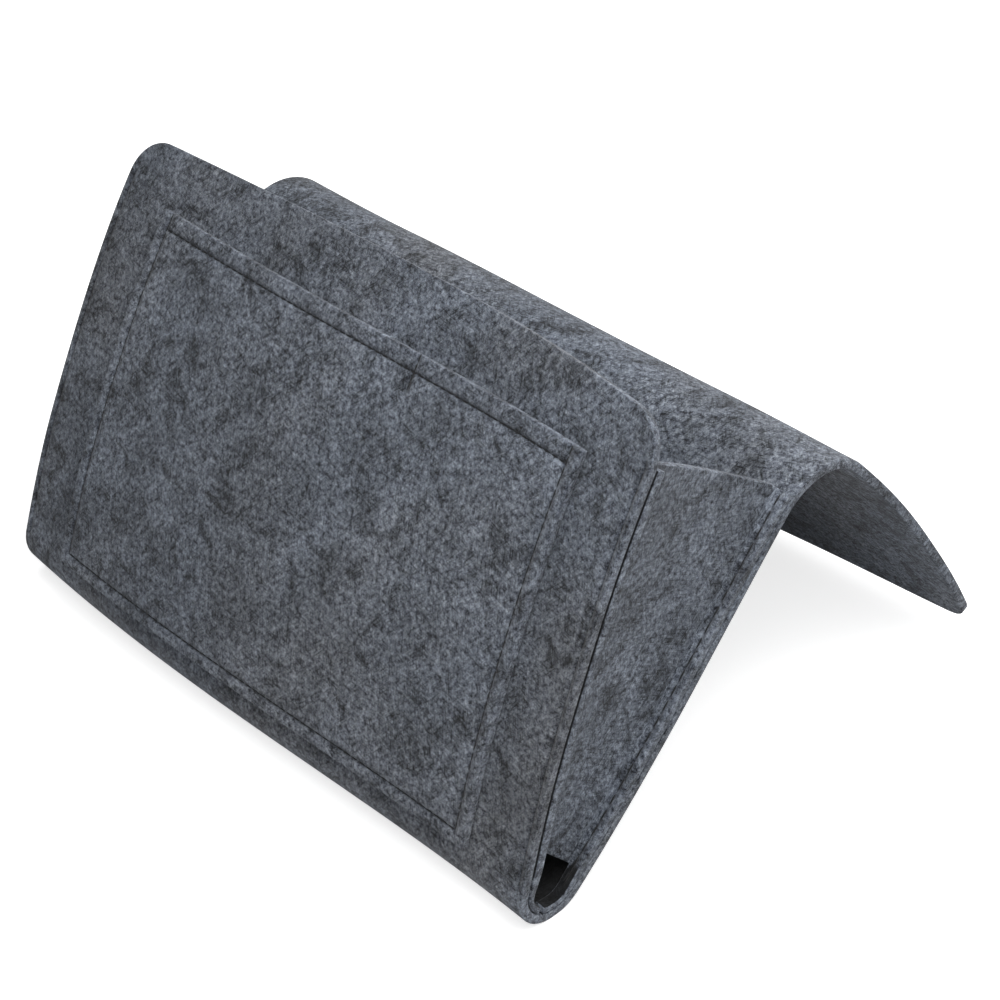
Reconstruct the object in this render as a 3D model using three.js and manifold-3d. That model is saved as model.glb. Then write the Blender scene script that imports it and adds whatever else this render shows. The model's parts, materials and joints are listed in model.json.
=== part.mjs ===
// A grey needle-felt bedside caddy, as it stands by itself: like a tent, on its bottom fold and on
// the free edge of the flap that goes under the mattress. One long sheet of felt makes the front
// panel, the bottom fold, the back panel, the bend over the mattress edge and the flap. Two folded
// gussets close the sides of the bag, and a patch pocket lies on the front panel. The felt is soft:
// the front panel leans back unevenly, and the left end of the flap curls more than the right end.
// +X runs along the width, +Y from the front panel to the flap, +Z up. Millimetres and degrees.
import * as THREE from 'three';
import { mergeVertices } from 'three/addons/utils/BufferGeometryUtils.js';
import Module from 'manifold-3d';

const wasm = await Module();
wasm.setup();

// Felt and seams
const width = 270;
const felt = 3.4;
const seamGap = 0.3;
const seamInset = 2.6;
const seamValley = 0.5;
const seamValleyWidth = 2.2;

// Front panel, and how it leans at its foot and at its top
const frontFlat = 155;
const frontCrown = 5;
const frontCorner = 14;
const leftFootLeanAngle = 17.9;
const middleFootLeanAngle = 16.5;
const rightFootLeanAngle = 12.7;
const leftTopLeanAngle = 35.8;
const middleTopLeanAngle = 36.7;
const rightTopLeanAngle = 29.6;

// Bottom fold, which ends where the sheet leans this much
const foldInner = 10.6;
const foldEndLeanAngle = 20;

// Back panel and the bend over the mattress edge
const backSlopeAngle = 48.3;
const backFlat = 133.3;
const bendInner = 22.8;

// Flap that goes under the mattress
const flapStartAngle = 45.5;
const leftFlapTurnAngle = 25.9;
const rightFlapTurnAngle = 14.5;
const flapCorner = 11;

// Patch pocket on the front panel
const pocketLeft = 105;
const pocketRight = 110;
const pocketHeight = 134;
const pocketRise = 2.5;
const pocketSeamInset = 4.5;
const pocketHem = 6;

// Gussets
const gussetFlange = 5;
const gussetBend = 0.8;
const gussetFrontFoot = 10.2;
const gussetBackFoot = 6.4;
const gussetFrontTop = 142;
const gussetBackTop = 138.5;
const flangeWrapAngle = 62;

// Fineness of the round stretches, and of the stretches that curve only a little
const curveSteps = 14;
const smallCurveSteps = 4;
const panelSteps = 8;
const widthSteps = 12;
const cornerSteps = 3;
const bendOverlapSteps = 2;

const halfWidth = width / 2;
const halfFelt = felt / 2;
const foldMiddle = foldInner + halfFelt;
const bendMiddle = bendInner + halfFelt;
const degree = Math.PI / 180;

function unit(angle) {
  return new THREE.Vector2(Math.cos(angle * degree), Math.sin(angle * degree));
}

// The length of felt that a turn takes on a circle
function arcRun(radius, angle) {
  return radius * angle * degree;
}

// Goes a length from a start along stretches, each with its run and the angle by which it turns.
function walk(start, heading, stretches, length) {
  const place = start.clone();
  let angle = heading;
  let left = length;
  stretches.forEach(({ run, turn }, index) => {
    const part = index === stretches.length - 1 ? left : Math.min(left, run);
    const partTurn = (turn * part) / run;
    const half = (partTurn / 2) * degree;
    const chord = half === 0 ? part : (part * Math.sin(half)) / half;
    place.addScaledVector(unit(angle + partTurn / 2), chord);
    angle += partTurn;
    left -= part;
  });
  return { place, angle };
}

// A value that changes smoothly over the width, from its left end over its middle to its right end
function overWidth(left, middle, right, x) {
  const share = x / halfWidth;
  return middle + ((right - left) / 2) * share + ((left + right) / 2 - middle) * share * share;
}

// The side view's (0, 0) is the fold's centre, and the sheet goes both ways from the fold's bottom.
const bottom = new THREE.Vector2(0, -foldMiddle);
const frontFoldRun = arcRun(foldMiddle, 90 + foldEndLeanAngle);
const backFoldRun = arcRun(foldMiddle, backSlopeAngle);
const bendTurnAngle = backSlopeAngle + flapStartAngle;
const bendRun = arcRun(bendMiddle, bendTurnAngle);
const bendStart = backFoldRun + backFlat;
const bendEnd = bendStart + bendRun;

const toBend = [
  { run: backFoldRun, turn: backSlopeAngle },
  { run: backFlat, turn: 0 },
  { run: bendRun, turn: -bendTurnAngle },
];

// The flap is as long as it takes for its left end to come down to the floor.
const bendFoot = walk(bottom, 0, toBend, bendEnd).place;
const leftFlapEndAngle = flapStartAngle + leftFlapTurnAngle;
const flapDrop = bendFoot.y + foldMiddle + halfFelt * (1 - Math.cos(leftFlapEndAngle * degree));
const flapFlat = (flapDrop * leftFlapTurnAngle * degree)
  / (Math.cos(flapStartAngle * degree) - Math.cos(leftFlapEndAngle * degree));
const flapEnd = bendEnd + flapFlat;

function frontStretches(x) {
  const foot = overWidth(leftFootLeanAngle, middleFootLeanAngle, rightFootLeanAngle, x);
  const top = overWidth(leftTopLeanAngle, middleTopLeanAngle, rightTopLeanAngle, x);
  const foldRun = arcRun(foldMiddle, 90 + foot);
  return [
    { run: foldRun, turn: -90 - foot },
    { run: frontFoldRun + frontFlat - foldRun, turn: foot - top },
  ];
}

function backStretches(x) {
  const middleTurnAngle = (leftFlapTurnAngle + rightFlapTurnAngle) / 2;
  const turn = -overWidth(leftFlapTurnAngle, middleTurnAngle, rightFlapTurnAngle, x);
  return [...toBend, { run: flapFlat, turn }];
}

// A point of the sheet: x across, `s` along from the fold's bottom, which is negative on the front's
// side, and `depth` off the middle of the felt, counted away from the bag.
function onSheet(x, s, depth) {
  const isFront = s < 0;
  const stretches = isFront ? frontStretches(x) : backStretches(x);
  const { place, angle } = walk(bottom, isFront ? 180 : 0, stretches, Math.abs(s));
  const out = unit(isFront ? angle + 90 : angle - 90);
  place.addScaledVector(out, depth);
  return new THREE.Vector3(x, place.x, place.y);
}

function steps(from, to, count) {
  return Array.from({ length: count + 1 }, (_, i) => from + ((to - from) * i) / count);
}

// Sorts places and leaves out the ones that repeat.
function inOrder(places) {
  return [...new Set(places)].sort((a, b) => a - b);
}

// Three places that draw the dent of a seam
function seamPlaces(seam) {
  return [seam - seamValleyWidth / 2, seam, seam + seamValleyWidth / 2];
}

function cornerPlaces(half, radius) {
  const turns = steps(0, 90, cornerSteps);
  return turns.map((turn) => half - radius * (1 - Math.sin(turn * degree)));
}

// How far a round corner draws the edge in, at a place across
function cornerDrop(x, half, radius) {
  const beyond = Math.max(0, Math.abs(x) - (half - radius));
  return radius - Math.sqrt(Math.max(0, radius * radius - beyond * beyond));
}

function toSolid(geometry) {
  const merged = mergeVertices(geometry);
  return new wasm.Manifold(new wasm.Mesh({
    numProp: 3,
    vertProperties: new Float32Array(merged.attributes.position.array),
    triVerts: new Uint32Array(merged.index.array),
  }));
}

function toGeometry(solid) {
  const mesh = solid.getMesh();
  const geometry = new THREE.BufferGeometry();
  geometry.setAttribute('position', new THREE.BufferAttribute(mesh.vertProperties, mesh.numProp));
  geometry.setIndex(new THREE.BufferAttribute(mesh.triVerts, 1));
  geometry.computeVertexNormals();
  return geometry;
}

// A piece of felt as a closed body over a grid on its flat pattern. `place` takes a column, a row and
// a face, 1 or -1, to its point in space, and `isCut` says whether a cell of the grid is cut away.
function feltPiece(columns, rows, place, isCut = () => false) {
  const points = [];
  const triangles = [];
  const wide = columns.length;
  const sheetSize = wide * rows.length;
  [-1, 1].forEach((face) => rows.forEach((row) => columns.forEach((column) => {
    points.push(...place(column, row, face).toArray());
  })));
  const quad = (a, b, c, d) => triangles.push(a, b, c, a, c, d);
  const has = (i, j) => i >= 0 && j >= 0 && i < wide - 1 && j < rows.length - 1
    && !isCut((columns[i] + columns[i + 1]) / 2, (rows[j] + rows[j + 1]) / 2);
  for (let j = 0; j < rows.length - 1; j += 1) {
    for (let i = 0; i < wide - 1; i += 1) {
      if (has(i, j)) {
        const a = j * wide + i;
        const b = a + 1;
        const c = b + wide;
        const d = a + wide;
        quad(d, c, b, a);
        quad(a + sheetSize, b + sheetSize, c + sheetSize, d + sheetSize);
        if (!has(i, j - 1)) quad(a, b, b + sheetSize, a + sheetSize);
        if (!has(i + 1, j)) quad(b, c, c + sheetSize, b + sheetSize);
        if (!has(i, j + 1)) quad(c, d, d + sheetSize, c + sheetSize);
        if (!has(i - 1, j)) quad(d, a, a + sheetSize, d + sheetSize);
      }
    }
  }
  const geometry = new THREE.BufferGeometry();
  geometry.setAttribute('position', new THREE.Float32BufferAttribute(points, 3));
  geometry.setIndex(isInsideOut(points, triangles) ? triangles.reverse() : triangles);
  return toGeometry(toSolid(geometry));
}

// A closed body whose faces look inwards has a negative volume.
function isInsideOut(points, triangles) {
  const corner = (index) => new THREE.Vector3().fromArray(points, 3 * triangles[index]);
  let volume = 0;
  for (let i = 0; i < triangles.length; i += 3) {
    volume += corner(i).dot(corner(i + 1).cross(corner(i + 2)));
  }
  return volume < 0;
}

// The main sheet's pieces end half a gap short of each other.
const slit = seamGap / 2;
const sideSeam = halfWidth - seamInset;
const widthPlaces = steps(-halfWidth, halfWidth, widthSteps);
const seamColumns = [...seamPlaces(-sideSeam), ...seamPlaces(sideSeam)];

// The depth of a face of the main sheet, which the side seams dent on the face away from the bag
function sheetFace(x, face) {
  const isDented = face > 0 && Math.abs(Math.abs(x) - sideSeam) < seamValleyWidth / 4;
  return face * halfFelt - (isDented ? seamValley : 0);
}

// Front panel: rounded top corners, and a top edge that rises a little in the middle
function frontPanel() {
  const corners = cornerPlaces(halfWidth, frontCorner);
  const inside = widthPlaces.filter((x) => Math.abs(x) < halfWidth - frontCorner);
  const columns = inOrder([...inside, ...seamColumns, ...corners, ...corners.map((x) => -x)]);
  return feltPiece(columns, steps(0, 1, panelSteps), (x, share, face) => {
    const across = x / halfWidth;
    const edge = frontFlat + frontCrown * (1 - across * across)
      - cornerDrop(x, halfWidth, frontCorner);
    const height = slit + (edge - slit) * share;
    return onSheet(x, -frontFoldRun - height, sheetFace(x, face));
  });
}

// Bottom fold: the sheet turns round from the front panel to the back panel.
function bottomFold() {
  const rows = steps(slit - frontFoldRun, backFoldRun - slit, curveSteps);
  return feltPiece(widthPlaces, rows, (x, s, face) => onSheet(x, s, face * halfFelt));
}

// Back panel: flat, with the dents of the two side seams on the face that meets the bed
function backPanel() {
  const columns = inOrder([-halfWidth, halfWidth, ...seamColumns]);
  const rows = [backFoldRun + slit, bendStart - slit];
  return feltPiece(columns, rows, (x, s, face) => onSheet(x, s, sheetFace(x, face)));
}

// Bend over the mattress edge
function topBend() {
  const rows = steps(bendStart + slit, bendEnd - slit, curveSteps);
  const columns = [-halfWidth, halfWidth];
  return feltPiece(columns, rows, (x, s, face) => onSheet(x, s, face * halfFelt));
}

// Flap, with two rounded corners
function insertFlap() {
  const corners = cornerPlaces(halfWidth, flapCorner);
  const inside = widthPlaces.filter((x) => Math.abs(x) < halfWidth - flapCorner);
  const columns = inOrder([...inside, ...corners, ...corners.map((x) => -x)]);
  return feltPiece(columns, steps(0, 1, panelSteps), (x, share, face) => {
    const from = bendEnd + slit;
    const edge = flapEnd - cornerDrop(x, halfWidth, flapCorner);
    return onSheet(x, from + (edge - from) * share, face * halfFelt);
  });
}

// Patch pocket: sewn down at its sides and foot, with a top-stitched hem at its mouth
function pocketPatch() {
  const leftSeam = pocketSeamInset - pocketLeft;
  const rightSeam = pocketRight - pocketSeamInset;
  const footSeam = pocketRise + pocketSeamInset;
  const top = pocketRise + pocketHeight;
  const hem = top - pocketHem;
  const seamEdges = [leftSeam + seamValleyWidth, rightSeam - seamValleyWidth];
  const inside = widthPlaces.filter((x) => x > seamEdges[0] && x < seamEdges[1]);
  const columns = inOrder([
    -pocketLeft, ...seamPlaces(leftSeam), ...inside, ...seamPlaces(rightSeam), pocketRight,
  ]);
  const middleRows = steps(footSeam + seamValleyWidth, hem - seamValleyWidth, panelSteps);
  const rows = inOrder([pocketRise, ...seamPlaces(footSeam), ...middleRows, ...seamPlaces(hem), top]);
  const isSeam = (x, height) => (height >= footSeam && (x === leftSeam || x === rightSeam))
    || (x >= leftSeam && x <= rightSeam && (height === footSeam || height === hem));
  return feltPiece(columns, rows, (x, height, face) => {
    const depth = felt + seamGap + face * halfFelt;
    const dent = face > 0 && isSeam(x, height) ? seamValley : 0;
    return onSheet(x, -frontFoldRun - height, depth - dent);
  });
}

// Gusset: one piece of felt folded to a channel. Its two flanges lie on the bag faces of the front
// and back panels, flush with the sheet's side. Its web tapers towards the bottom fold, where it is
// cut straight and the flanges run on round the fold as two tongues. The web's top and foot both lie
// higher at the front than at the back.
const flangeFlat = gussetFlange - gussetBend;
const flangeBend = gussetBend + halfFelt;
const flangeRun = flangeFlat + arcRun(flangeBend, 90);
const tongueRun = arcRun(foldMiddle, flangeWrapAngle);

// A point of a flange: `w` runs from its cut edge inwards and round the bend to the web, and `lift`
// goes from its middle towards the other flange.
function onFlange(side, isFront, w, height, lift = 0) {
  const turn = Math.max(0, w - flangeFlat) / flangeBend;
  const radius = flangeBend - lift;
  const x = halfWidth - Math.min(w, flangeFlat) - radius * Math.sin(turn);
  const depth = -felt - seamGap - flangeBend + radius * Math.cos(turn);
  return onSheet(side * x, isFront ? -frontFoldRun - height : backFoldRun + height, depth);
}

// The gusset's rows lie level at the back, and this gives how much higher they lie at the front.
function frontRise(height) {
  const footRise = gussetFrontFoot - gussetBackFoot;
  const topRise = gussetFrontTop - gussetBackTop;
  const tongue = gussetBackFoot + tongueRun;
  if (height < gussetBackFoot) return (footRise * (height + tongueRun)) / tongue;
  const share = (height - gussetBackFoot) / (gussetBackTop - gussetBackFoot);
  return footRise + (topRise - footRise) * share;
}

function webEnds(side, height) {
  return [
    onFlange(side, true, flangeRun, height + frontRise(height)),
    onFlange(side, false, flangeRun, height),
  ];
}

// Half the flat width of the web at a row. Both webs are cut alike, and the right one is taut.
function halfWeb(height) {
  const [frontEnd, backEnd] = webEnds(1, height);
  return frontEnd.distanceTo(backEnd) / 2;
}

// A point of the web's middle: `share` goes from the front flange to the back one. Where the web has
// slack, it folds into the bag.
function webMiddle(side, share, height) {
  const [frontEnd, backEnd] = webEnds(side, height);
  const chord = frontEnd.distanceTo(backEnd);
  const slack = Math.max(0, 2 * halfWeb(height) - chord);
  const fold = (2 / Math.PI) * Math.sqrt(slack * chord) * Math.sin(Math.PI * share);
  return frontEnd.lerp(backEnd, share).add(new THREE.Vector3(-side * fold, 0, 0));
}

// A point on a face of the web. Face 1 looks out of the bag on the right, and into it on the left.
function onWeb(side, share, height, face) {
  const shareStep = 0.5 / panelSteps;
  const across = webMiddle(side, share + shareStep, height)
    .sub(webMiddle(side, share - shareStep, height));
  const up = webMiddle(side, share, height + halfFelt)
    .sub(webMiddle(side, share, height - halfFelt));
  const normal = across.cross(up).normalize();
  return webMiddle(side, share, height).addScaledVector(normal, face * halfFelt);
}

function gusset(side) {
  const topHalf = halfWeb(gussetBackTop);
  const bends = steps(flangeFlat, flangeRun, smallCurveSteps);
  const right = [0, ...bends].map((w) => topHalf + flangeRun - w);
  const web = steps(-topHalf, topHalf, panelSteps);
  const columns = inOrder([...right.map((q) => -q), ...web, ...right]);
  const rows = inOrder([
    ...steps(-tongueRun, gussetBackFoot, smallCurveSteps),
    ...steps(gussetBackFoot, backFlat, panelSteps),
    ...steps(backFlat, gussetBackTop, bendOverlapSteps),
  ]);
  const folded = (column, height, face) => {
    const beyond = Math.abs(column) - topHalf;
    if (beyond <= 0) return onWeb(side, (column / topHalf + 1) / 2, height, face);
    const onPanel = column < 0 ? height + frontRise(height) : height;
    return onFlange(side, column < 0, flangeRun - beyond, onPanel, side * face * halfFelt);
  };
  const webHalf = topHalf + arcRun(flangeBend, 90);
  const isBelowWeb = (column, height) => height < gussetBackFoot && Math.abs(column) < webHalf;
  return feltPiece(columns, rows, folded, isBelowWeb);
}

function node(name, geometry) {
  const feltGrey = new THREE.MeshStandardMaterial({ color: 0x5c6067, roughness: 0.95, metalness: 0 });
  const mesh = new THREE.Mesh(geometry, feltGrey);
  mesh.name = name;
  return mesh;
}

const caddy = new THREE.Group();
caddy.add(
  node('front_panel', frontPanel()),
  node('bottom_fold', bottomFold()),
  node('back_panel', backPanel()),
  node('top_bend', topBend()),
  node('insert_flap', insertFlap()),
  node('pocket_patch', pocketPatch()),
  node('gusset_left', gusset(-1)),
  node('gusset_right', gusset(1)),
);

// The whole stands on the floor, with the origin under its middle.
const reach = new THREE.Box3().setFromObject(caddy);
caddy.position.set(0, -(reach.min.y + reach.max.y) / 2, -reach.min.z);

export default caddy;
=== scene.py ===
import json
import math

import bmesh
import bpy
from mathutils import Matrix, Vector, noise


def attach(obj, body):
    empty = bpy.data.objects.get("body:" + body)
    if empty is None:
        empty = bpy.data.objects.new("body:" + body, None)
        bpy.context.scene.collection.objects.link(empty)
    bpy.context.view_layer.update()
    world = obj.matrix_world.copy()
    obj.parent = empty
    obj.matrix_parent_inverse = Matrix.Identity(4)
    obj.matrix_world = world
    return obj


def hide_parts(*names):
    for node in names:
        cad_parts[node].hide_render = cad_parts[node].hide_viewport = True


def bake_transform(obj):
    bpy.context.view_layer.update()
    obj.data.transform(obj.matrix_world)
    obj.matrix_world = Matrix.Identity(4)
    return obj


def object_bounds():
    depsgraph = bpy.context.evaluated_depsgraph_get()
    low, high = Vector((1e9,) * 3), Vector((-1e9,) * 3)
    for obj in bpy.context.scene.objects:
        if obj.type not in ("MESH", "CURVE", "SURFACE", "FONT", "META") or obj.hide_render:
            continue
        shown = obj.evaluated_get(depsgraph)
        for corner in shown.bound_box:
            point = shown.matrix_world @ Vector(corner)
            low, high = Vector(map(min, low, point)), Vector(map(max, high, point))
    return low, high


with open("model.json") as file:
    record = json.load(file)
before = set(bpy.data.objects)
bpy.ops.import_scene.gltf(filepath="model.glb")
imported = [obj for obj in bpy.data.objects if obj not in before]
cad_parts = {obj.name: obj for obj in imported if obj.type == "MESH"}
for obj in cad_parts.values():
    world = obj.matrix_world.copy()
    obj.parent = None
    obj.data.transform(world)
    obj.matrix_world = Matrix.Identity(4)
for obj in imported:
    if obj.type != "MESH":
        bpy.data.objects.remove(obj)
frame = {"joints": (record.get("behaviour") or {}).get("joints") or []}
cad_low, cad_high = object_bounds()

MM = 0.001
joints = {joint["name"]: joint for joint in frame["joints"]}

# Felt
FELT = 3.4 * MM
SEAM_GAP = 0.3 * MM
HALF_WIDTH = (cad_high.x - cad_low.x) / 2
CUT_EDGE_ROUND = 0.5 * MM
GRID_STEP = 2.2 * MM
WAVE_HEIGHT = 0.7 * MM
WAVE_LENGTH = 62 * MM

# Side view of the main sheet. From the bottom of its fold it goes up the back panel, over the bend
# and down the flap, and the other way up the front panel. The back panel bows out at its right end.
FOLD_CENTRE = Vector(joints["front_open"]["pos_m"])
FOLD_RADIUS = FOLD_CENTRE.z - FELT / 2
BACK_SLOPE = 48.3
BACK_RUN = 133.3 * MM
BEND_RADIUS = 24.5 * MM
BEND_TURN = 93.8
FLAP_RUN = 125.07 * MM
FLAP_TURNS = (25.9, 14.5)
FLAP_CORNER = 7 * MM
BACK_BOW = 2.9 * MM
BOW_START = 2 * MM
BOW_SKEW = 0.75
BACK_FOLD_RUN = FOLD_RADIUS * math.radians(BACK_SLOPE)
BEND_START = BACK_FOLD_RUN + BACK_RUN
OVER_BEND_RUN = BEND_RADIUS * math.radians(BEND_TURN)
BEND_END = BEND_START + OVER_BEND_RUN
FLAP_END = BEND_END + FLAP_RUN

# The front panel leans less at its right end, and its lean grows towards its top. The felt is soft,
# so the fold and the panel also sit a little further forward in places, and the left side of the
# panel is drawn in. Values in brackets go evenly from the left end to the right end.
FRONT_FOLD_TURN = 110
FRONT_FOLD_RUN = FOLD_RADIUS * math.radians(FRONT_FOLD_TURN)
FRONT_RUN = 155 * MM
FRONT_CROWN = 5 * MM
FRONT_CORNER = 14 * MM
FOOT_LEANS = (17.9, 16.5, 12.7)
TOP_LEANS = (35.8, 36.7, 29.6)
FORWARD = (1.7 * MM, 5.1 * MM, 4.6 * MM, 2.3 * MM, 2.3 * MM)
DRAWN_IN = 3.9 * MM

# Patch pocket on the front panel
PATCH_LEFT = -105 * MM
PATCH_RIGHT = 110 * MM
PATCH_RISE = 2.5 * MM
PATCH_HEIGHT = 134 * MM
PATCH_SEAM_INSET = 4.5 * MM
PATCH_HEM = 6 * MM
PATCH_BULGE = 0.5 * MM

# Gussets
FLANGE_FLAT = 4.2 * MM
FLANGE_BEND = 2.5 * MM
GUSSET_FRONT_FOOT = 10.2 * MM
GUSSET_FOOT = 6.4 * MM
GUSSET_FRONT_TOP = 142 * MM
GUSSET_TOP = 138.5 * MM
FLANGE_WRAP = 74
FLANGE_FLARE = 0.7 * MM
TONGUE_THICKNESS_SHARE = 0.62
WEB_SLACK = 0.4 * MM
BEND_COLUMN_SHARES = (0.25, 0.5, 0.75, 1)
WEB_COLUMN_SHARES = (0, 0.15, 0.3, 0.45, 0.6, 0.75, 0.9)
HANDS = {-1: "left", 1: "right"}

# Seams. Stitches are written as the pitch and the length that shows.
SEAM_INSET = 2.6 * MM
SEAM_DENT = 0.8 * MM
DENT_WIDTH = 0.6 * MM
PATCH_STITCHES = (3.5 * MM, 3.0 * MM)
SIDE_STITCHES = (5.5 * MM, 4.2 * MM)
THREAD_WIDTH = 0.55 * MM
THREAD_TAPER_SHARE = 0.35
TACK_PLACE = 34 * MM
TACK_HALF = 6.5 * MM

# Painted shading that the felt's material reads: painted shade on faces in the fold and between two
# layers of felt, a little where stitches press it in, and a painted highlight on the cut edges.
PAINTED_SHADE_TONE = 0
DENT_SHADE_TONE = 0.25
FACE_TONE = 0.5
EDGE_HIGHLIGHT_TONE = 1


def over_width(values, x):
    """A smooth curve over the width, through values at even places from the left to the right."""
    share = (x + HALF_WIDTH) / (2 * HALF_WIDTH) * (len(values) - 1)
    total = 0
    for i, value in enumerate(values):
        for j in range(len(values)):
            if j != i:
                value *= (share - j) / (i - j)
        total += value
    return total


def walk(place, heading, arcs, length):
    """Goes a length along a chain of arcs, each with its run and its turn in degrees."""
    for index, (run, turn) in enumerate(arcs):
        last = index == len(arcs) - 1
        part = length if last else min(length, run)
        angle = turn * part / run
        half = math.radians(angle / 2)
        chord = part * (math.sin(half) / half if half else 1)
        way = math.radians(heading) + half
        place = (place[0] + chord * math.cos(way), place[1] + chord * math.sin(way))
        heading += angle
        length -= part
        if length <= 0:
            break
    return place, heading


def front_arcs(x):
    """The side view's arcs from the bottom of the fold up the front panel."""
    foot = over_width(FOOT_LEANS, x)
    top = over_width(TOP_LEANS, x)
    fold = FOLD_RADIUS * math.radians(90 + foot)
    return [(fold, -(90 + foot)), (FRONT_FOLD_RUN + FRONT_RUN - fold, foot - top)]


def back_arcs(x):
    """The side view's arcs from the bottom of the fold up the back panel and down the flap."""
    return [
        (BACK_FOLD_RUN, BACK_SLOPE),
        (BACK_RUN, 0),
        (OVER_BEND_RUN, -BEND_TURN),
        (FLAP_RUN, -over_width(FLAP_TURNS, x)),
    ]


def wave(x, s):
    """The slight waviness of the felt, the same for all that lies on one place of the sheet."""
    return WAVE_HEIGHT * noise.noise(Vector((x, s, 0)) / WAVE_LENGTH)


def on_sheet(x, s, d):
    """The place of a point of the pattern: x across, s along from the fold's bottom (minus is the
    front), and d outwards from the middle of the main sheet's felt."""
    fade = 1 if s < 0 else max(0, 1 - s / BEND_START)
    bottom = (FOLD_CENTRE.y - over_width(FORWARD, x) * fade, FOLD_CENTRE.z - FOLD_RADIUS)
    if s < 0:
        place, heading = walk(bottom, 180, front_arcs(x), -s)
        outward = math.radians(heading + 90)
    else:
        place, heading = walk(bottom, 0, back_arcs(x), s)
        outward = math.radians(heading - 90)
    standing = min(1, max(0, abs(s) - FOLD_RADIUS) / WAVE_LENGTH)
    up_back = min(1, max(0, s - BOW_START) / (BEND_START - BOW_START))
    bow = BACK_BOW * math.sin(math.pi * up_back**BOW_SKEW) * max(0, x / HALF_WIDTH) ** 2
    reach = d + wave(x, s) * standing + bow
    across = x + DRAWN_IN * max(0, -x / HALF_WIDTH) * fade
    y, z = place
    return Vector((across, y + reach * math.cos(outward), z + reach * math.sin(outward)))


def lines(low, high, close=()):
    """Places for a grid's lines, close together at the given places."""
    near = (-DENT_WIDTH, -DENT_WIDTH / 2, 0, DENT_WIDTH / 2, DENT_WIDTH)
    fixed = {low, high}
    for place in close:
        fixed.update(place + step for step in near if low < place + step < high)
    count = max(1, round((high - low) / GRID_STEP))
    even = [low + (high - low) * i / count for i in range(count + 1)]
    free = [e for e in even if all(abs(e - f) > GRID_STEP / 3 for f in fixed)]
    return sorted(fixed.union(free))


def round_corner(x, s, edge, radius):
    """Draws a point near a corner of the grid in, so that the corner at that edge becomes round."""
    way = math.copysign(1, edge)
    beyond_x = abs(x) - (HALF_WIDTH - radius)
    beyond_s = s * way - (abs(edge) - radius)
    if beyond_x <= 0 or beyond_s <= 0:
        return x, s
    drawn_in = max(beyond_x, beyond_s) / math.hypot(beyond_x, beyond_s)
    round_x = HALF_WIDTH - radius + beyond_x * drawn_in
    return math.copysign(round_x, x), way * (abs(edge) - radius + beyond_s * drawn_in)


def flat_sheet(name, across, along):
    """A flat grid in the pattern's plane, with a line at each of the given places."""
    bpy.ops.mesh.primitive_grid_add(
        x_subdivisions=len(across) - 1, y_subdivisions=len(along) - 1, size=2
    )
    sheet = bpy.context.object
    sheet.name = name
    for vertex in sheet.data.vertices:
        column = round((vertex.co.x + 1) / 2 * (len(across) - 1))
        row = round((vertex.co.y + 1) / 2 * (len(along) - 1))
        vertex.co = (across[column], along[row], 0)
    return sheet


def move_points(sheet, place):
    """Moves each point of the sheet to where the place function puts it."""
    for vertex in sheet.data.vertices:
        vertex.co = place(*vertex.co)
    sheet.data.update()


def cut_away(sheet, unwanted):
    """Deletes the faces whose middle is in the unwanted part of the pattern."""
    bm = bmesh.new()
    bm.from_mesh(sheet.data)
    faces = [face for face in bm.faces if unwanted(*face.calc_center_median())]
    bmesh.ops.delete(bm, geom=faces, context="FACES")
    bm.to_mesh(sheet.data)
    bm.free()


def select_only(piece):
    bpy.ops.object.select_all(action="DESELECT")
    piece.select_set(True)
    bpy.context.view_layer.objects.active = piece


def apply_modifier(piece, kind, **settings):
    select_only(piece)
    bpy.ops.object.modifier_add(type=kind)
    modifier = piece.modifiers[-1]
    for name, value in settings.items():
        setattr(modifier, name, value)
    bpy.ops.object.modifier_apply(modifier=modifier.name)


def give_thickness(sheet, runs_on_at=None):
    """Gives the sheet its thickness and rounds its cut edges, but not the edge where the felt runs
    on as the next sheet."""
    sharp = math.radians(60)
    apply_modifier(sheet, "SOLIDIFY", thickness=FELT, offset=0)
    bm = bmesh.new()
    bm.from_mesh(sheet.data)
    weights = bm.edges.layers.float.new("bevel_weight_edge")
    for edge in bm.edges:
        runs_on = runs_on_at is not None and all(
            abs(vertex.co.y - runs_on_at) < SEAM_GAP for vertex in edge.verts
        )
        edge[weights] = edge.calc_face_angle() > sharp and not runs_on
    bm.to_mesh(sheet.data)
    bm.free()
    apply_modifier(sheet, "BEVEL", width=CUT_EDGE_ROUND, segments=3, limit_method="WEIGHT")


def distance(x, s, seam):
    """How far a point of the pattern lies from a seam, which is a straight line on it."""
    (x0, s0), (x1, s1) = seam
    run = (x1 - x0) ** 2 + (s1 - s0) ** 2
    share = min(1, max(0, ((x - x0) * (x1 - x0) + (s - s0) * (s1 - s0)) / run))
    return math.hypot(x - x0 - share * (x1 - x0), s - s0 - share * (s1 - s0))


def dent(x, s, seams):
    """How far the stitches of the seams pull the felt in at a place."""
    nearest = min(distance(x, s, seam) for seam in seams)
    return SEAM_DENT * math.exp(-((nearest / DENT_WIDTH) ** 2))


def dent_outward_face(sheet, seams):
    """Pulls in the outward face of the felt at its seams."""

    def pulled(x, s, d):
        return (x, s, d - dent(x, s, seams)) if d > FELT / 4 else (x, s, d)

    move_points(sheet, pulled)


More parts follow.
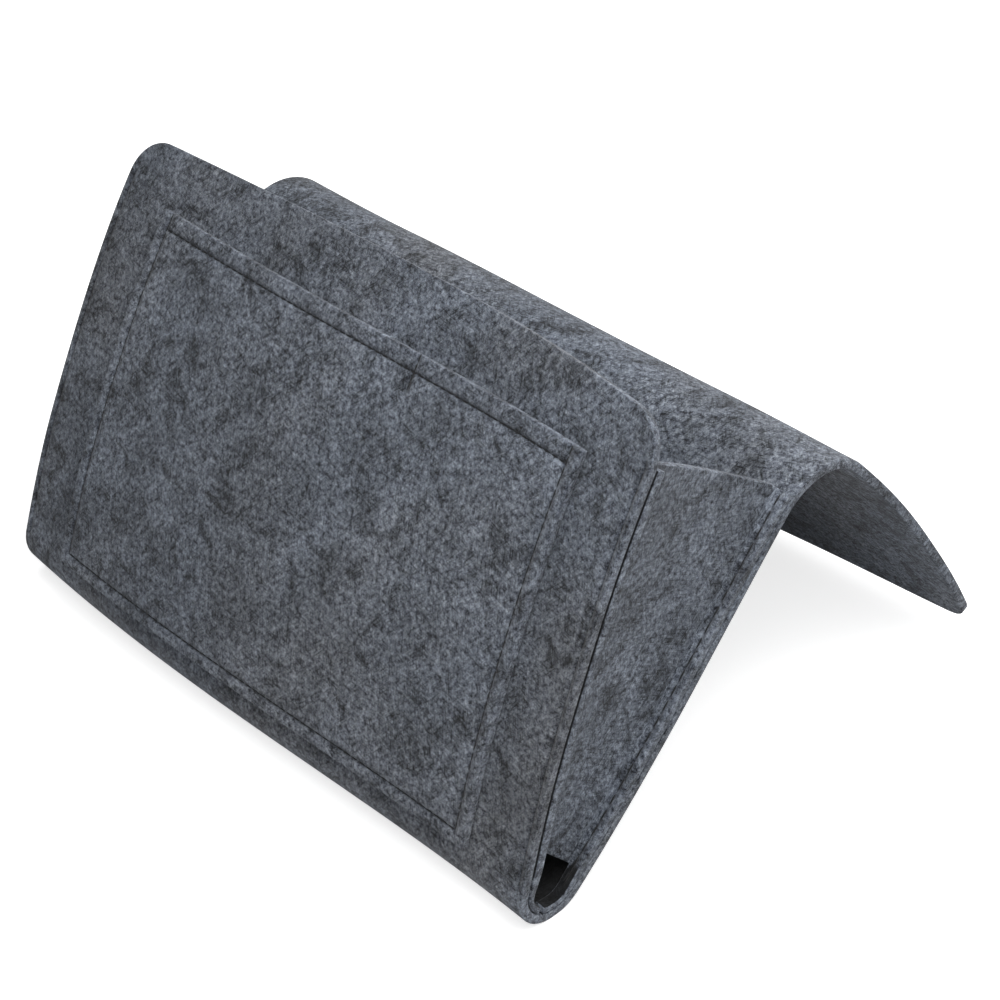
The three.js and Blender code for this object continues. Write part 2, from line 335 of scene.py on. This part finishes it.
def remember_pattern(piece, in_painted_shade):
    """Keeps each point's place in the flat felt and its painted shading, which the material reads."""
    face_normal = 0.6
    pattern = piece.data.attributes.new("pattern", "FLOAT_VECTOR", "POINT")
    for vertex, item in zip(piece.data.vertices, pattern.data):
        item.vector = vertex.co
    painted_shading = piece.data.attributes.new("painted_shading", "FLOAT", "POINT")
    for vertex, item in zip(piece.data.vertices, painted_shading.data):
        pressed_in = min(1, (FELT / 2 - abs(vertex.co.z)) / SEAM_DENT)
        # Cut edges get a painted highlight, faces in the fold or between layers painted shade, and
        # stitch dents painted shade by their depth.
        if abs(vertex.normal.z) < face_normal:
            item.value = EDGE_HIGHLIGHT_TONE
        elif in_painted_shade(*vertex.co):
            item.value = PAINTED_SHADE_TONE
        else:
            item.value = FACE_TONE - pressed_in * (FACE_TONE - DENT_SHADE_TONE)


def outward_normals(piece):
    """Turns all faces outwards, and shades them smooth up to the cut edges."""
    sharp = math.radians(50)
    select_only(piece)
    bpy.ops.object.mode_set(mode="EDIT")
    bpy.ops.mesh.select_all(action="SELECT")
    bpy.ops.mesh.normals_make_consistent(inside=False)
    bpy.ops.object.mode_set(mode="OBJECT")
    bpy.ops.object.shade_smooth_by_angle(angle=sharp)


def bend_to_shape(piece, place, material, in_painted_shade):
    """Bends the flat felt to where the place function puts its points, and gives it its material."""
    remember_pattern(piece, in_painted_shade)
    move_points(piece, place)
    outward_normals(piece)
    piece.data.materials.append(material)


# Materials. Sizes are those of the lumps, clouds and streaks that the felt's fibres make.
GRAIN_SIZE = 1.9 * MM
CLUMP_SIZE = 11 * MM
CLOUD_SIZE = 40 * MM
TINT_SIZE = 75 * MM
TINT_STRETCH = (1, 1.5, 1)
TINT_TURN = 20
FIBRE_WIDTH = 0.5 * MM
FIBRE_STRETCH = (6, 1, 1)
FIBRE_TURNS = (12, 72, 131)
FIBRE_RELIEF = 0.3 * MM

# Colour ramps, as places along the ramp with a colour or a share of the light
BLUE_GREYS = [(0.35, "12151b"), (0.455, "535863"), (0.53, "6b727c"), (0.68, "8d949e")]
BROWN_GREYS = [(0.35, "161618"), (0.455, "575659"), (0.53, "707070"), (0.68, "92908d")]
CLUMP_LIGHT = [(0.32, 0.24), (0.43, 0.72), (0.51, 1.08), (0.68, 1.42)]
STREAK_LIGHT = [(0.28, 0.1), (0.42, 0.94), (0.60, 1.05), (0.72, 1.5)]
STREAK_SHARE = [(0.38, 1), (0.56, 0.45)]
# Painted shade (fold, between layers, stitch dents), plain face, and painted highlight (cut edges)
PAINTED_SHADING_LIGHT = [(PAINTED_SHADE_TONE, 0.05), (DENT_SHADE_TONE, 0.7), (FACE_TONE, 1), (EDGE_HIGHLIGHT_TONE, 1.16)]
THREAD_COLOUR = "121418"
FLOOR_COLOUR = "e6e6e6"


def linear(code):
    """A colour written as sRGB hex, turned to the linear values that Blender's sockets take."""
    parts = [int(code[i : i + 2], 16) / 255 for i in (0, 2, 4)]
    return tuple(p / 12.92 if p <= 0.04045 else ((p + 0.055) / 1.055) ** 2.4 for p in parts) + (1,)


def add_node(tree, kind, settings=None, links=None):
    """Adds a node, sets its properties and sockets, and links outputs of other nodes to its inputs."""
    node = tree.nodes.new(kind)
    for name, value in (settings or {}).items():
        if isinstance(name, int) or name in node.inputs:
            node.inputs[name].default_value = value
        else:
            setattr(node, name, value)
    for name, source in (links or {}).items():
        tree.links.new(source, node.inputs[name])
    return node


def new_material(name):
    """An empty material, with its node tree."""
    material = bpy.data.materials.new(name)
    material.use_nodes = True
    tree = material.node_tree
    tree.nodes.clear()
    return material, tree


def ramp(tree, source, stops):
    """A colour ramp over a value, from a list of places and colours."""
    node = add_node(tree, "ShaderNodeValToRGB", links={"Fac": source})
    points = node.color_ramp.elements
    while len(points) < len(stops):
        points.new(0.5)
    for point, (place, colour) in zip(points, stops):
        point.position = place
        point.color = colour
    return node.outputs["Color"]


def grey(value):
    return (value, value, value, 1)


def needle_felt(lot, lightness, brown_share):
    """Needle-punched polyester felt: short fibres of light, dark and a few brownish greys, tangled
    by barbed needles, which gives a matt, mottled face with dark flecks and clumps. Each lot of it
    differs a little in how light and how brown it is."""
    material, tree = new_material(f"needle-punched polyester felt, {lot}")
    pattern = add_node(tree, "ShaderNodeAttribute", {"attribute_name": "pattern"}).outputs["Vector"]

    def noise_at(size, stretch=(1, 1, 1), turn=0, detail=2, roughness=0.5, distortion=0):
        """Cloudy noise with lumps of a size, which may be drawn out along a direction."""
        placed = add_node(
            tree,
            "ShaderNodeMapping",
            {
                "vector_type": "TEXTURE",
                "Rotation": (0, 0, math.radians(turn)),
                "Scale": tuple(size * part for part in stretch),
            },
            {"Vector": pattern},
        )
        settings = {"Scale": 1, "Detail": detail, "Roughness": roughness, "Distortion": distortion}
        links = {"Vector": placed.outputs["Vector"]}
        return add_node(tree, "ShaderNodeTexNoise", settings, links).outputs["Fac"]

    def mix(kind, first, second, share=None):
        """Blends two colours, wholly or by a share that another node gives."""
        factor, first_colour, second_colour, result = 0, 6, 7, 2
        settings = {"data_type": "RGBA", "blend_type": kind, factor: 1}
        links = {first_colour: first, second_colour: second}
        if share is not None:
            links[factor] = share
        return add_node(tree, "ShaderNodeMix", settings, links).outputs[result]

    def greys(source, stops):
        return ramp(tree, source, [(place, grey(value)) for place, value in stops])

    def colours(source, stops):
        return ramp(tree, source, [(place, linear(code)) for place, code in stops])

    grain = noise_at(GRAIN_SIZE, detail=5, roughness=0.82)
    clumps = noise_at(CLUMP_SIZE, detail=7, roughness=0.72, distortion=1.1)
    clouds = noise_at(CLOUD_SIZE)
    tints = noise_at(TINT_SIZE, stretch=TINT_STRETCH, turn=TINT_TURN)
    # The attribute read here darkens the felt with painted shade in the fold, between layers and in
    # stitch dents, and lightens cut edges with a painted highlight.
    painted_shading = add_node(tree, "ShaderNodeAttribute", {"attribute_name": "painted_shading"}).outputs["Fac"]

    brown_places = greys(tints, [(0.42, 0), (0.70, brown_share)])
    cloud_light = greys(clouds, [(0.35, 0.82 * lightness), (0.65, 1.12 * lightness)])
    colour = mix("MIX", colours(grain, BLUE_GREYS), colours(grain, BROWN_GREYS), brown_places)
    for light in (greys(clumps, CLUMP_LIGHT), cloud_light, greys(painted_shading, PAINTED_SHADING_LIGHT)):
        colour = mix("MULTIPLY", colour, light)

    # Single fibres lie in all directions: three sets of fine streaks stand for them.
    streak_share = greys(clumps, STREAK_SHARE)
    height = grain
    for turn in FIBRE_TURNS:
        streaks = noise_at(FIBRE_WIDTH, stretch=FIBRE_STRETCH, turn=turn, detail=1, distortion=0.6)
        colour = mix("MULTIPLY", colour, greys(streaks, STREAK_LIGHT), streak_share)
        links = {0: height, 1: streaks}
        height = add_node(tree, "ShaderNodeMath", {"operation": "ADD"}, links).outputs[0]

    relief = {"Strength": 0.5, "Distance": FIBRE_RELIEF}
    bump = add_node(tree, "ShaderNodeBump", relief, {"Height": height})
    shader = add_node(
        tree,
        "ShaderNodeBsdfPrincipled",
        {"Roughness": 0.95, "Specular IOR Level": 0.2, "Sheen Weight": 0.12, "Sheen Roughness": 0.6},
        {"Base Color": colour, "Normal": bump.outputs["Normal"]},
    )
    add_node(tree, "ShaderNodeOutputMaterial", links={"Surface": shader.outputs["BSDF"]})
    return material


def sewing_thread():
    """Spun polyester sewing thread in a near-black grey, faintly glossy along its twist."""
    material, tree = new_material("spun polyester thread")
    shader = add_node(
        tree,
        "ShaderNodeBsdfPrincipled",
        {"Base Color": linear(THREAD_COLOUR), "Roughness": 0.6, "Sheen Weight": 0.1},
    )
    add_node(tree, "ShaderNodeOutputMaterial", links={"Surface": shader.outputs["BSDF"]})
    return material


sheet_felt = needle_felt("main sheet", lightness=0.96, brown_share=0.5)
patch_felt = needle_felt("patch pocket", lightness=1.06, brown_share=0.35)
gusset_felt = needle_felt("gussets", lightness=1.04, brown_share=0.1)
thread = sewing_thread()

# Main sheet. Its seams are lines on its pattern, the left one first.
side_seam = HALF_WIDTH - SEAM_INSET
seam_columns = (-side_seam, side_seam)
front_seam_end = -FRONT_FOLD_RUN - GUSSET_FRONT_TOP
back_seam_end = BACK_FOLD_RUN + GUSSET_TOP
front_seams = [((x, -FRONT_FOLD_RUN), (x, front_seam_end)) for x in seam_columns]
back_seams = [((x, BACK_FOLD_RUN), (x, back_seam_end)) for x in seam_columns]


def sheet_in_painted_shade(x, s, d):
    """Where the sheet's bag face gets painted shade: in the bottom fold and where the front flanges lie
    on it.
    """
    in_fold = -FRONT_FOLD_RUN - GUSSET_FRONT_FOOT < s < BACK_FOLD_RUN + GUSSET_FRONT_FOOT
    beyond_seam = abs(x) > side_seam
    under_flange = beyond_seam and front_seam_end < s < -FRONT_FOLD_RUN
    return d < 0 and (under_flange or in_fold and not beyond_seam)


def front_sheet():
    """The front panel and the bottom fold, with round top corners and a slightly crowned top edge."""
    top = -FRONT_FOLD_RUN - FRONT_RUN
    base = -FRONT_FOLD_RUN - GUSSET_FRONT_FOOT
    across = lines(-HALF_WIDTH, HALF_WIDTH, seam_columns)
    sheet = flat_sheet("front_and_fold", across, lines(top, BACK_FOLD_RUN))

    def shaped(x, s, d):
        x, s = round_corner(x, s, top, FRONT_CORNER)
        crown = FRONT_CROWN * (1 - (x / HALF_WIDTH) ** 2)
        return (x, s - crown * max(0, (base - s) / (base - top)), d)

    move_points(sheet, shaped)
    give_thickness(sheet, BACK_FOLD_RUN)
    dent_outward_face(sheet, front_seams)
    bend_to_shape(sheet, on_sheet, sheet_felt, sheet_in_painted_shade)
    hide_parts("front_panel", "bottom_fold")
    return sheet


def back_sheet():
    """The back panel, the bend over the mattress edge and the flap with its two round corners."""
    across = lines(-HALF_WIDTH, HALF_WIDTH, seam_columns)
    sheet = flat_sheet("back_and_flap", across, lines(BACK_FOLD_RUN, FLAP_END))
    move_points(sheet, lambda x, s, d: (*round_corner(x, s, FLAP_END, FLAP_CORNER), d))
    give_thickness(sheet, BACK_FOLD_RUN)
    dent_outward_face(sheet, back_seams)
    bend_to_shape(sheet, on_sheet, sheet_felt, sheet_in_painted_shade)
    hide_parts("back_panel", "top_bend", "insert_flap")
    return sheet


# Patch pocket. Its own seams are lines on the main sheet's pattern too.
PATCH_FOOT = -FRONT_FOLD_RUN - PATCH_RISE
PATCH_TOP = PATCH_FOOT - PATCH_HEIGHT
PATCH_MIDDLE = FELT + SEAM_GAP
patch_left_seam = PATCH_LEFT + PATCH_SEAM_INSET
patch_right_seam = PATCH_RIGHT - PATCH_SEAM_INSET
patch_foot_seam = PATCH_FOOT - PATCH_SEAM_INSET
patch_hem = PATCH_TOP + PATCH_HEM
patch_seams = [
    ((patch_left_seam, PATCH_TOP), (patch_left_seam, patch_foot_seam)),
    ((patch_left_seam, patch_foot_seam), (patch_right_seam, patch_foot_seam)),
    ((patch_right_seam, patch_foot_seam), (patch_right_seam, PATCH_TOP)),
]
hem_seam = ((patch_left_seam, patch_hem), (patch_right_seam, patch_hem))
bar_tack = ((TACK_PLACE, patch_hem - TACK_HALF), (TACK_PLACE, patch_hem + TACK_HALF))


def on_patch(x, s, d):
    """The patch lies on the front panel, and its mouth stands off a little between the side seams."""
    middle = (PATCH_LEFT + PATCH_RIGHT) / 2
    across = min(1, abs(x - middle) / (patch_right_seam - middle))
    up = max(0, (patch_foot_seam - s) / (patch_foot_seam - PATCH_TOP))
    bulge = PATCH_BULGE * (1 - across**2) * min(1, up) ** 2
    return on_sheet(x, s, d + PATCH_MIDDLE + bulge)


def pocket_patch():
    """The patch pocket, sewn down at its sides and foot."""
    across = lines(PATCH_LEFT, PATCH_RIGHT, (patch_left_seam, patch_right_seam, TACK_PLACE))
    along = lines(PATCH_TOP, PATCH_FOOT, (patch_foot_seam, patch_hem))
    sheet = flat_sheet("patch_pocket", across, along)
    give_thickness(sheet)
    dent_outward_face(sheet, patch_seams + [hem_seam, bar_tack])
    bend_to_shape(sheet, on_patch, patch_felt, lambda x, s, d: False)
    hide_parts("pocket_patch")
    return sheet


# Gussets. Each is one sheet, with two flanges sewn to the bag faces of the panels and a web between
# them. Below the web its flanges run on as two tongues round the bottom fold.
FLANGE_MIDDLE = -(FELT + SEAM_GAP)
BEND_RUN = FLANGE_BEND * math.pi / 2
FLANGE_RUN = FLANGE_FLAT + BEND_RUN
TONGUE = FOLD_RADIUS * math.radians(FLANGE_WRAP)


def on_flange(side, panel, w, height, d=0):
    """A point of the flange: w runs from its cut edge inwards and round the bend into the web, height
    runs up the panel from where the bottom fold leaves off, and d goes from the middle of the felt
    towards the panel, or on the web towards the bag's inside. Past its seam the front flange stands
    off the panel a little, and the tongue below the web is pressed thinner by the bottom fold."""
    turn = max(0, w - FLANGE_FLAT) / FLANGE_BEND
    below = min(1, max(0, GUSSET_FOOT - height) / (2 * GUSSET_FOOT))
    d += (FELT / 2 - d) * (1 - TONGUE_THICKNESS_SHARE) * below
    radius = FLANGE_BEND + d
    x = HALF_WIDTH - min(w, FLANGE_FLAT) - radius * math.sin(turn)
    depth = FLANGE_MIDDLE - FLANGE_BEND + radius * math.cos(turn)
    if panel == "back":
        return on_sheet(side * x, BACK_FOLD_RUN + height, depth)
    flare = FLANGE_FLARE * max(0, 1 - w / SEAM_INSET) ** 2 * (1 - below)
    return on_sheet(side * x, -FRONT_FOLD_RUN - height, depth - flare)


def front_rise(height):
    """The gusset's rows lie level at the back, and this is how much higher they lie at the front."""
    foot_rise = GUSSET_FRONT_FOOT - GUSSET_FOOT
    top_rise = GUSSET_FRONT_TOP - GUSSET_TOP
    if height < GUSSET_FOOT:
        return foot_rise * (height + TONGUE) / (GUSSET_FOOT + TONGUE)
    return foot_rise + (top_rise - foot_rise) * (height - GUSSET_FOOT) / (GUSSET_TOP - GUSSET_FOOT)


def web_ends(side, height):
    """The two ends of the web at a row, where the flanges' bends leave off."""
    front = on_flange(side, "front", FLANGE_RUN, height + front_rise(height))
    return front, on_flange(side, "back", FLANGE_RUN, height)


def web_cut(height):
    """The width of the web in the flat: it tapers, and it is as wide as the right end's is when taut."""
    front, back = web_ends(1, height)
    return (back - front).length + WEB_SLACK


def web_half(height):
    """Half the web's width in the flat. Below its foot the tongues stay as far apart as there."""
    return web_cut(max(height, GUSSET_FOOT)) / 2


def from_cut_edge(q, height):
    """How far a point of the pattern lies from the cut edge of its flange."""
    return web_half(height) + FLANGE_RUN - abs(q)


def on_web(side, share, height):
    """A point of the web's middle. Where the web has slack it curves inwards, as a sine arch."""
    front, back = web_ends(side, height)
    chord = (back - front).length
    slack = max(0, web_cut(height) - chord)
    inward = 2 / math.pi * math.sqrt(slack * chord) * math.sin(math.pi * share)
    return front.lerp(back, share) - Vector((side * inward, 0, 0))


def on_gusset(side, q, height, d):
    """A point of the gusset: q runs across from the middle of the web, from the front to the back,
    and d goes from the middle of the felt towards the bag's inside."""
    half = web_half(height)
    w = from_cut_edge(q, height)
    if q < -half:
        return on_flange(side, "front", w, height + front_rise(height), d)
    if q > half:
        return on_flange(side, "back", w, height, d)

    def middle(q, height):
        return on_web(side, (q / half + 1) / 2, height)

    step = FELT / 8
    across = middle(q + step, height) - middle(q - step, height)
    up = middle(q, height + step) - middle(q, height - step)
    inward = across.cross(up).normalized() * -side
    return middle(q, height) + inward * d


def gusset_grid(name):
    """The gusset's flat grid, as wide as the web is at its top, with the felt between the tongues
    cut away."""
    half_top = web_half(GUSSET_TOP)
    flange = [0, SEAM_INSET - DENT_WIDTH, SEAM_INSET, SEAM_INSET + DENT_WIDTH, FLANGE_FLAT]
    flange += [FLANGE_FLAT + BEND_RUN * share for share in BEND_COLUMN_SHARES]
    columns = [half_top * share for share in WEB_COLUMN_SHARES]
    columns += [half_top + FLANGE_RUN - w for w in flange]
    across = sorted({side * q for q in columns for side in (-1, 1)})
    along = sorted(set(lines(-TONGUE, GUSSET_FOOT) + lines(GUSSET_FOOT, GUSSET_TOP)))
    sheet = flat_sheet(name, across, along)
    bent = half_top + BEND_RUN
    cut_away(sheet, lambda q, height, d: height < GUSSET_FOOT and abs(q) < bent)
    return sheet


def tapered(q, height, d):
    """The web narrows towards its foot, and the flanges keep their width."""
    half_top = web_half(GUSSET_TOP)
    half = web_half(height)
    beyond = abs(q) - half_top
    return (math.copysign(half + beyond, q) if beyond > 0 else q * half / half_top, height, d)


def sewn(q, height, d):
    """The stitches pull in the flanges' faces away from the panels."""
    if d > -FELT / 4:
        return q, height, d
    seam = ((SEAM_INSET, 0), (SEAM_INSET, GUSSET_TOP))
    return q, height, d + dent(from_cut_edge(q, height), height, [seam])


def gusset_in_painted_shade(q, height, d):
    """Where the gusset gets painted shade: on the tongues inside the bottom fold, and past its seam on
    the front flange's face that lies on the panel."""
    if d < 0:
        return height < GUSSET_FOOT
    return q < 0 < height and from_cut_edge(q, height) < SEAM_INSET


def gusset(side):
    """A gusset, cut flat, sewn at its flanges and folded."""
    sheet = gusset_grid(f"side_gusset_{HANDS[side]}")
    move_points(sheet, tapered)
    give_thickness(sheet)
    move_points(sheet, sewn)

    def folded(q, height, d):
        return on_gusset(side, q, height, d)

    bend_to_shape(sheet, folded, gusset_felt, gusset_in_painted_shade)
    half_top = web_half(GUSSET_TOP)
    half_foot = web_half(GUSSET_FOOT)
    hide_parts(f"gusset_{HANDS[side]}")
    return sheet


# Stitches. Each face is how far the middle of a thread lies outwards from the middle of a felt: of
# the main sheet's on the panels and on the flanges, and of the patch's on the patch.
sheet_face = FELT / 2 - SEAM_DENT - THREAD_WIDTH / 3
patch_face = FELT / 2 - SEAM_DENT + THREAD_WIDTH / 4
flange_face = FLANGE_MIDDLE - FELT / 2 + SEAM_DENT / 2


def one_stitch(length):
    """One stitch of thread: a short roll with tapered ends that lies along +Y."""
    bpy.ops.mesh.primitive_uv_sphere_add(segments=8, ring_count=6, radius=1)
    stitch = bpy.context.object
    for vertex in stitch.data.vertices:
        x, y, z = vertex.co
        full = 1 - THREAD_TAPER_SHARE * abs(z) ** 3
        vertex.co = (y * THREAD_WIDTH / 2 * full, z * length / 2, x * THREAD_WIDTH / 2 * full)
    return stitch


def along_seam(seam, share):
    """The place on the pattern at a share of a seam's run."""
    (x0, s0), (x1, s1) = seam
    return x0 + (x1 - x0) * share, s0 + (s1 - s0) * share


def sew(name, body, seams, place, depth, side, stitches):
    """Puts a stitch at each step of the seams, on one face of the felt, and lets the thread ride on
    its body. Side 1 is the outward face and -1 the other."""
    pitch, length = stitches
    model = one_stitch(length)
    bm = bmesh.new()
    for seam in seams:
        run = math.dist(*seam)
        count = max(1, round(run / pitch))
        reach = length / 2 / run
        for i in range(count):
            share = (i + 0.5) / count
            start = place(*along_seam(seam, share - reach), depth)
            middle = place(*along_seam(seam, share), depth)
            lifted = place(*along_seam(seam, share), depth + side * FELT)
            along = (middle - start).normalized()
            out = (lifted - middle).normalized()
            across = along.cross(out).normalized()
            turn = Matrix((across, along, across.cross(along))).transposed().to_4x4()
            before = len(bm.verts)
            bm.from_mesh(model.data)
            bm.verts.ensure_lookup_table()
            placed = Matrix.Translation(middle) @ turn
            bmesh.ops.transform(bm, matrix=placed, verts=bm.verts[before:])
    mesh = bpy.data.meshes.new(name)
    bm.to_mesh(mesh)
    bm.free()
    seam_thread = bpy.data.objects.new(name, mesh)
    bpy.context.collection.objects.link(seam_thread)
    bpy.data.objects.remove(model)
    outward_normals(seam_thread)
    seam_thread.data.materials.append(thread)
    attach(seam_thread, body)


# Assembly: the sheets and gussets stay where they are built, and the patch and the threads ride on one
# body.
front = front_sheet()
back = back_sheet()
patch = pocket_patch()
fold_start = on_sheet(0, -FRONT_FOLD_RUN, 0)
fold_end = on_sheet(0, BACK_FOLD_RUN, 0)
bend_start = on_sheet(0, BEND_START, 0)
bend_end = on_sheet(0, BEND_END, 0)
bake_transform(front)
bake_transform(back)
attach(patch, "front")

for (side, hand), front_seam, back_seam in zip(HANDS.items(), front_seams, back_seams):
    sheet = gusset(side)
    front_end, back_end = web_ends(side, GUSSET_TOP)
    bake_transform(sheet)

    for body, seam in (("front", front_seam), ("back", back_seam)):
        name = f"thread_{body}_{hand}"
        sew(name, body, [seam], on_sheet, sheet_face, 1, SIDE_STITCHES)
        sew(f"{name}_inside", body, [seam], on_sheet, flange_face, -1, SIDE_STITCHES)

for name, seams in (("patch", patch_seams), ("hem", [hem_seam]), ("tack", [bar_tack])):
    sew(f"thread_{name}", "front", seams, on_patch, patch_face, 1, PATCH_STITCHES)


# Floor, light and camera. The lamps are written as name, place, size and power.
LAMP_AIM = (0, 0, 0.08)
LAMPS = [
    ("key_lamp", (0.348, -0.201, 0.653), 0.5, 2.5),
    ("top_lamp", (0.222, 0, 0.691), 0.4, 2.6),
    ("fill_lamp", (-0.7, 0.8, 0.6), 0.9, 6),
]


def plain_floor():
    """A white floor that keeps the object's shadow and otherwise looks white to the camera."""
    floor_size = 12
    bpy.ops.mesh.primitive_plane_add(size=floor_size, location=(0, 0, 0))
    floor = bpy.context.object
    floor.name = "ground"
    material, tree = new_material("white painted floor")
    paint = add_node(tree, "ShaderNodeBsdfDiffuse", {"Color": linear(FLOOR_COLOUR)})
    light_path = add_node(tree, "ShaderNodeLightPath")
    seen = light_path.outputs["Is Camera Ray"]
    for ray in ("Is Glossy Ray", "Is Transmission Ray"):
        links = {0: seen, 1: light_path.outputs[ray]}
        seen = add_node(tree, "ShaderNodeMath", {"operation": "MAXIMUM"}, links).outputs[0]
    glow_share = 0.75
    strength = add_node(tree, "ShaderNodeMath", {"operation": "MULTIPLY", 1: glow_share}, {0: seen})
    glow = add_node(tree, "ShaderNodeEmission", links={"Strength": strength.outputs[0]})
    both = add_node(tree, "ShaderNodeAddShader", links={0: paint.outputs[0], 1: glow.outputs[0]})
    add_node(tree, "ShaderNodeOutputMaterial", links={"Surface": both.outputs[0]})
    floor.data.materials.append(material)


def soft_lamp(name, place, size, power):
    """A square lamp that shines on the object."""
    bpy.ops.object.light_add(type="AREA", location=place)
    lamp = bpy.context.object
    lamp.name = name
    lamp.data.size = size
    lamp.data.energy = power
    aim = Vector(LAMP_AIM) - Vector(place)
    lamp.rotation_euler = aim.to_track_quat("-Z", "Y").to_euler()


def studio():
    """A dim even sky and three soft lamps."""
    world = bpy.data.worlds.new("studio")
    bpy.context.scene.world = world
    world.use_nodes = True
    tree = world.node_tree
    tree.nodes.clear()
    sky_strength = 0.16
    sky = add_node(tree, "ShaderNodeBackground", {"Color": grey(1), "Strength": sky_strength})
    add_node(tree, "ShaderNodeOutputWorld", links={"Surface": sky.outputs[0]})
    for lamp in LAMPS:
        soft_lamp(*lamp)


def camera():
    """The photograph's view: from the right, in front and above."""
    place = Vector((0.51074, -0.48027, 0.52818))
    back_way = Vector((0.59543, -0.56786, 0.56833))
    lens = 85.275
    bpy.ops.object.camera_add(location=place)
    eye = bpy.context.object
    eye.rotation_mode = "QUATERNION"
    eye.rotation_quaternion = (-back_way).to_track_quat("-Z", "Y")
    eye.data.lens = lens
    eye.data.sensor_width = 36
    eye.data.clip_start = 0.01
    eye.data.clip_end = 50
    bpy.context.scene.camera = eye


plain_floor()
studio()
camera()
bpy.context.scene.view_settings.view_transform = "Standard"
